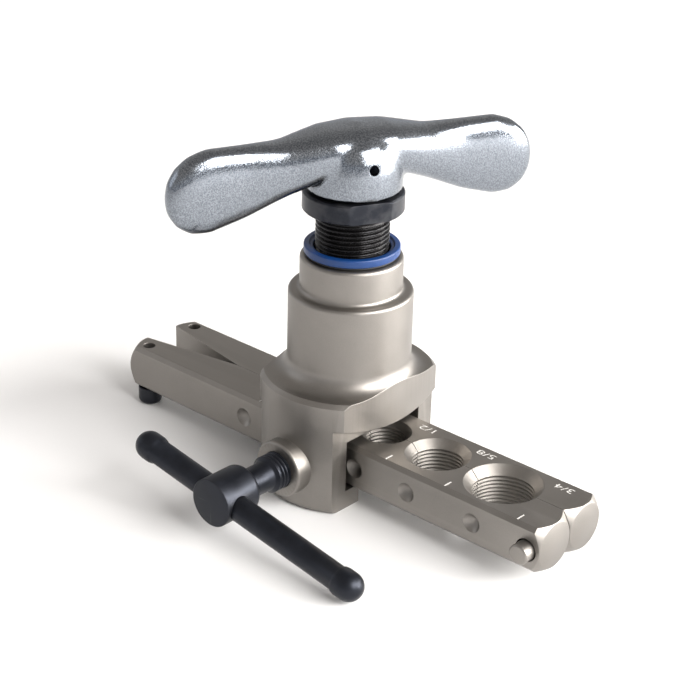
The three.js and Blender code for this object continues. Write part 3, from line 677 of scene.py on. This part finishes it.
guide = turned("cross_guide_pin", [
    (0, -19), *arc(GUIDE_R - 0.7, -18.3, 0.7, -90, 0, 5), (GUIDE_R, 9), (0, 9)], 64)
move(guide, along((0, 1, 0), (GUIDE_X, 0, GUIDE_Z)))
finish_piece(guide, NICKEL, "bar_rear", ["guide_pin"])

for name, side, body, node in (
    ("front_stop", -1, "bar_front", "front_stop_pin"),
    ("rear_stop", 1, "bar_rear", "rear_stop_pin"),
):
    dome = 1.9
    stop = turned(name, [
        (0, FOOT_Z), *arc(STOP_HEAD_R - dome, FOOT_Z + dome, dome, -90, 0), (STOP_HEAD_R, -BAR_SIDE - 0.35),
        (STOP_HEAD_R - 0.15, -BAR_SIDE - 0.2), (STOP_SHANK_R, -BAR_SIDE - 0.2), (STOP_SHANK_R, -2.1),
        (STOP_SHANK_R - 0.3, -1.8), (0, -1.8)], 64)
    move(stop, Matrix.Translation((STOP_X, side * STOP_Y, 0)))
    finish_piece(stop, OXIDE, body, [node])

# ---- Feed screw and collar -----------------------------------------------------------------


def thread_depth(z, angle, pitch, depth, low, high):
    """How far a right-hand thread is cut in at a height and an angle, running out at both ends."""
    if z < low or z > high:
        return 0.0
    phase = (z / pitch - angle / (2 * pi)) % 1.0
    groove = max(0.0, 1 - abs(phase - 0.5) / 0.4)
    fade = min(1.0, (z - low) / pitch, (high - z) / pitch)
    return depth * min(1.0, groove * 1.15) * fade


def make_feed_screw():
    low, high, bore = 28.8, 77.2, 6.9
    thread_low, thread_high = 50, 70
    heights = [low, low + 0.6, thread_low - 0.1]
    steps = int((thread_high - thread_low) / FEED_PITCH * 10)
    heights += [thread_low + (thread_high - thread_low) * i / steps for i in range(steps + 1)]
    outer = []
    for z in heights:
        outer.append((FEED_R - (0.6 if z == low else 0), z))
    outer += [(FEED_R - 0.3, thread_high + 0.3), (FEED_R - 0.3, high), (11, high)]
    cup, centre = 1.75, 78.0
    drop = centre - high
    turn = degrees(asin(drop / cup))
    outer += arc(9.2, centre, cup, -turn, -180 + turn, 10)
    section = [(bore, low), *outer, (bore, high), (bore, low)]

    def radius_at(r, z, angle):
        if r < FEED_R - 0.1:
            return r
        return r - thread_depth(z, angle, FEED_PITCH, 0.8, thread_low, thread_high)

    return turned("threaded_feed_screw", section, 128, radius_at)


finish_piece(make_feed_screw(), THREAD_OXIDE, "feed_sleeve", ["feed_screw"], 50)


def make_collar():
    low, high, outer, inner, edge = 71.2, 77.4, 15.75, 11.25, 0.45
    ring = turned("wrench_collar", [
        (inner, low), (outer - edge, low), (outer, low + edge), (outer, high - edge), (outer - edge, high),
        (inner, high), (inner, low)], 128)
    for turn in (COLLAR_ANGLE, COLLAR_ANGLE + pi):
        slab = block("flat", 14.24, 19, -16, 16, low - 1, high + 1)
        cut(ring, move(slab, Matrix.Rotation(turn, 4, "Z")))
    return ring


finish_piece(make_collar(), OXIDE, "feed_sleeve", ["clutch_collar"])

# ---- Handle --------------------------------------------------------------------------------


def wing_ring(distance, middle, half_height, half_thickness, sides=48):
    """Rounded-box section across a wing, at a distance from the hub along the handle."""
    along_x, along_y = cos(HANDLE_ANGLE), sin(HANDLE_ANGLE)
    ring = []
    for i in range(sides):
        angle = 2 * pi * i / sides
        c, s = cos(angle), sin(angle)
        out = (1 if c >= 0 else -1) * abs(c) ** 0.65 * half_thickness
        up = (1 if s >= 0 else -1) * abs(s) ** 0.85 * half_height
        ring.append((along_x * distance + along_y * out, along_y * distance - along_x * out, middle + up))
    return ring


def between(table, x):
    """Value of each column of a table at x, along straight lines between its rows."""
    for a, b in zip(table, table[1:]):
        if a[0] <= x <= b[0]:
            t = (x - a[0]) / (b[0] - a[0])
            return [p + (q - p) * t for p, q in zip(a[1:], b[1:])]
    return list(table[-1][1:])


def make_handle():
    reach = WING_SECTIONS[-1][0]
    stations = [reach * sin(pi / 2 * i / 28) for i in range(-28, 29)]

    def centre(ring):
        return [tuple(sum((Vector(p) for p in ring), Vector()) / len(ring))]

    def build(bm):
        rings = [wing_ring(s, *between(WING_SECTIONS, abs(s))) for s in stations]
        skin_rings(bm, [centre(rings[0]), *rings, centre(rings[-1])])

    handle = mesh_object("t_handle", build)
    hub = turned("hub", [
        (0, 77.8), (14.5, 77.8), (15, 78.5), (15, 82), (14.8, 86), (14.1, 90), (12.4, 93.6), (9.6, 96.4),
        (5.5, 98.2), (0, 98.8)], 96)
    combine(handle, hub, "UNION")
    remesh = handle.modifiers.new("remesh", "REMESH")
    remesh.mode = "VOXEL"
    remesh.voxel_size = 0.7
    even = handle.modifiers.new("even", "SMOOTH")
    even.factor = 0.5
    even.iterations = 14
    bake(handle)
    across = along((cos(CROSS_ANGLE), sin(CROSS_ANGLE), 0), (0, 0, HANDLE_PIN_Z))
    cut(
        handle,
        block("hub_face", -20, 20, -20, 20, 70, 77.85),
        rod("hub_recess", 11.9, 70, 83, 96),
        rod("spring_room", 10.2, 80, 86.2, 96),
        rod("shaft_hole", 6.1, 80, 93.1, 64),
        move(rod("pin_hole", 1.62, -25, 25, 48), across),
    )
    return handle


finish_piece(make_handle(), CHROME, "drive", ["handle"], 40)

# ---- Clamp screw and tommy bar -------------------------------------------------------------


def make_clamp_screw():
    thread_low, thread_high = 24, 37
    steps = int((thread_high - thread_low) / CLAMP_PITCH * 10)
    section = [(0, 20.8), (1.6, 20.8), (1.6, 23), (5.2, 23), (CLAMP_R, 23.8)]
    section += [(CLAMP_R, thread_low + (thread_high - thread_low) * i / steps) for i in range(steps + 1)]
    section += [
        (CLAMP_R - 0.1, 37.1), (4.9, 37.8), (4.7, 38.1), (4.7, 46.1), *arc(5.1, 46.1, 0.4, 180, 90, 4),
        *arc(5.15, 49.1, 2.6, -75, 0, 8), *arc(7.45, 61.0, 0.3, 0, 90, 3), (0, 61.3)]

    def radius_at(r, z, angle):
        if abs(r - CLAMP_R) > 1e-6:
            return r
        return r - thread_depth(z, angle, CLAMP_PITCH, 0.75, thread_low, thread_high)

    screw = move(turned("clamp_spindle", section, 112, radius_at), along((0, -1, 0), (0, 0, CLAMP_Z)))
    hole = rod("cross_hole", TOMMY_R + 0.08, -15, 15, 64)
    return cut(screw, move(hole, along((cos(TOMMY_TILT), 0, -sin(TOMMY_TILT)), (0, TOMMY_Y, CLAMP_Z))))


finish_piece(make_clamp_screw(), OXIDE, "clamp", ["clamp_screw"], 50)


def make_tommy_bar():
    start = TOMMY_HALF - TOMMY_BULB_LENGTH
    section = [(0, -TOMMY_HALF)]
    section += arc(0, -TOMMY_HALF + TOMMY_BULB_R, TOMMY_BULB_R, -89, 0, 14)
    section += [(TOMMY_BULB_R, -start - 1.6), (TOMMY_R + 0.35, -start - 0.5), (TOMMY_R, -start)]
    section += [(TOMMY_R, -start + 2 * start * i / 6) for i in range(1, 6)]
    section += [(TOMMY_R, start), (TOMMY_R + 0.35, start + 0.5), (TOMMY_BULB_R, start + 1.6)]
    section += arc(0, TOMMY_HALF - TOMMY_BULB_R, TOMMY_BULB_R, 0, 89, 14)
    section += [(0, TOMMY_HALF)]
    bar = turned("sliding_tommy_bar", section, 64)
    direction = Vector((cos(TOMMY_TILT), 0, -sin(TOMMY_TILT)))
    return move(bar, along(direction, Vector((0, TOMMY_Y, CLAMP_Z)) + direction * TOMMY_SHIFT))


finish_piece(make_tommy_bar(), OXIDE, "tommy", ["tommy_bar"], 40)

# ---- Flaring cone --------------------------------------------------------------------------

cone = turned("cone_tool", [
    (0, 1), *arc(0, 1.35, 0.25, -40, -20, 2), (12.1, 13.0), (12.2, 13.2), (12.2, 13.4),
    (4.5, 13.4), (4.5, 18.6), (0, 18.6)], 96)
move(cone, Matrix.Translation((0, -ECCENTRICITY, 0)))
finish_piece(cone, BEARING, "cone", ["flaring_cone"])

# ---- Carried-over CAD nodes ----------------------------------------------------------------

for node, material in {
    "heel_dowel": PIN_STEEL, "thrust_race": BEARING, "drive_shaft": PIN_STEEL, "handle_pin": OXIDE,
    "clutch_plate": PIN_STEEL, "clutch_spring": PIN_STEEL, "clutch_ball_1": BEARING, "clutch_ball_2": BEARING,
    "clutch_ball_3": BEARING, "thrust_ball_cage": BEARING, "needle_cage": BEARING, "cone_circlip": PIN_STEEL,
    "cone_pivot_ball": BEARING, "clamp_pad": PIN_STEEL,
}.items():
    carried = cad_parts[node]
    carried.data.materials.clear()
    carried.data.materials.append(material)

# ---- Floor, light and camera ---------------------------------------------------------------


def floor_material():
    s = Surface("pale_floor")
    s.set(Roughness=0.85)
    base = s.mix(s.spread(s.noise(6, 3), 0.3, 0.7), (0.86, 0.86, 0.865), (0.9, 0.9, 0.9))
    s.link(base, s.shader.inputs["Base Color"])
    return s.bump(s.noise(300, 2), 0.02, 0.0002).material


floor = mesh_object("floor", lambda bm: bmesh.ops.create_grid(bm, x_segments=4, y_segments=4, size=9))
floor.data.materials.append(floor_material())


def area_light(name, place, target, size, energy, color=(1, 1, 1)):
    data = bpy.data.lights.new(name, "AREA")
    data.shape = "RECTANGLE"
    data.size, data.size_y = size
    data.energy = energy
    data.color = color
    light = bpy.data.objects.new(name, data)
    light.location = place
    light.rotation_euler = (Vector(target) - Vector(place)).to_track_quat("-Z", "Y").to_euler()
    bpy.context.scene.collection.objects.link(light)
    return light


middle = Vector((0, 0, 0.05))
area_light("key", (2.1, 0.15, 1.35), middle, (1.9, 1.5), 105, (1.0, 0.98, 0.96))
area_light("low_right_back", (1.1, 1.0, 0.35), middle, (1.3, 0.7), 46, (1.0, 0.98, 0.95))
area_light("left_fill", (-1.6, -0.9, 0.7), middle, (1.2, 0.8), 2.5, (0.9, 0.94, 1.0))

# Surroundings: pale at the horizon, a darker brownish grey overhead
world = bpy.data.worlds.new("studio")
bpy.context.scene.world = world
world.use_nodes = True
tree = world.node_tree
sky = tree.nodes.new("ShaderNodeTexCoord").outputs["Generated"]
split = tree.nodes.new("ShaderNodeSeparateXYZ")
tree.links.new(sky, split.inputs["Vector"])
ramp = tree.nodes.new("ShaderNodeValToRGB")
stops = [
    (0.0, (0.55, 0.57, 0.62)),
    (0.28, (0.58, 0.57, 0.56)),
    (0.55, (0.52, 0.49, 0.46)),
    (1.0, (0.36, 0.34, 0.32)),
]
ramp.color_ramp.elements[0].position, ramp.color_ramp.elements[0].color = stops[0][0], (*stops[0][1], 1)
ramp.color_ramp.elements[1].position, ramp.color_ramp.elements[1].color = stops[-1][0], (*stops[-1][1], 1)
for position, color in stops[1:-1]:
    ramp.color_ramp.elements.new(position).color = (*color, 1)
tree.links.new(split.outputs["Z"], ramp.inputs["Fac"])
tree.links.new(ramp.outputs["Color"], tree.nodes["Background"].inputs["Color"])
tree.nodes["Background"].inputs["Strength"].default_value = 1.0

# Camera: seen from the front right, a little above, with a small roll
AZIMUTH, ELEVATION, ROLL = radians(41.284), radians(25.941), radians(1.606)
camera_data = bpy.data.cameras.new("camera")
camera_data.sensor_width = 36
camera_data.lens = 96.26
camera = bpy.data.objects.new("camera", camera_data)
bpy.context.scene.collection.objects.link(camera)
back = Vector((sin(AZIMUTH) * cos(ELEVATION), -cos(AZIMUTH) * cos(ELEVATION), sin(ELEVATION)))
right = (-back).cross(Vector((0, 0, 1))).normalized()
up = right.cross(-back)
rolled_right = right * cos(ROLL) + up * sin(ROLL)
rolled_up = up * cos(ROLL) - right * sin(ROLL)
place = AXIS + Vector((0.35125, -0.39966, 0.28168))
camera.matrix_world = Matrix((
    (rolled_right.x, rolled_up.x, back.x, place.x),
    (rolled_right.y, rolled_up.y, back.y, place.y),
    (rolled_right.z, rolled_up.z, back.z, place.z),
    (0, 0, 0, 1)))
bpy.context.scene.camera = camera
bpy.context.scene.view_settings.view_transform = "Standard"
